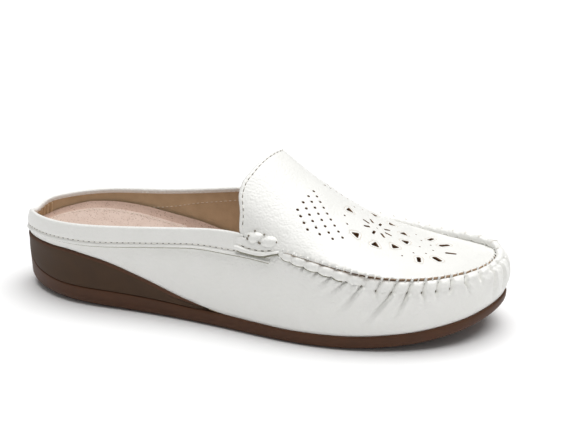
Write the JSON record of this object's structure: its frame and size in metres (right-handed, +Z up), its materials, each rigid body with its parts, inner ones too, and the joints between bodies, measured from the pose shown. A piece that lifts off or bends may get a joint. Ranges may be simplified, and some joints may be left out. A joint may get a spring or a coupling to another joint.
{
  "type": "backless moccasin mule",
  "caption": "Right-foot slip-on mule: white leather upper with a gathered moccasin toe and high vamp, open at the heel, on a low brown moulded wedge sole.",
  "frame": {"origin": "on the ground, under the middle of the shoe's box", "axes": "+X to the toe, +Y to the medial side, +Z up"},
  "size_m": [0.2505, 0.0871, 0.0787],
  "materials": {
    "sole_rubber": "matt brown moulded rubber",
    "wedge_foam": "matt brown moulded foam skin",
    "insole_leather": "unlacquered pigskin",
    "upper_leather": "soft white grained leather, semi-gloss"
  },
  "bodies": {
    "root": {"outsole": "sole_rubber", "heel_wedge": "wedge_foam", "insole": "insole_leather", "upper": "upper_leather", "collar_band": "upper_leather", "side_tab_lateral": "upper_leather", "side_tab_medial": "upper_leather", "toe_seam": "upper_leather"}
  },
  "joints": []
}
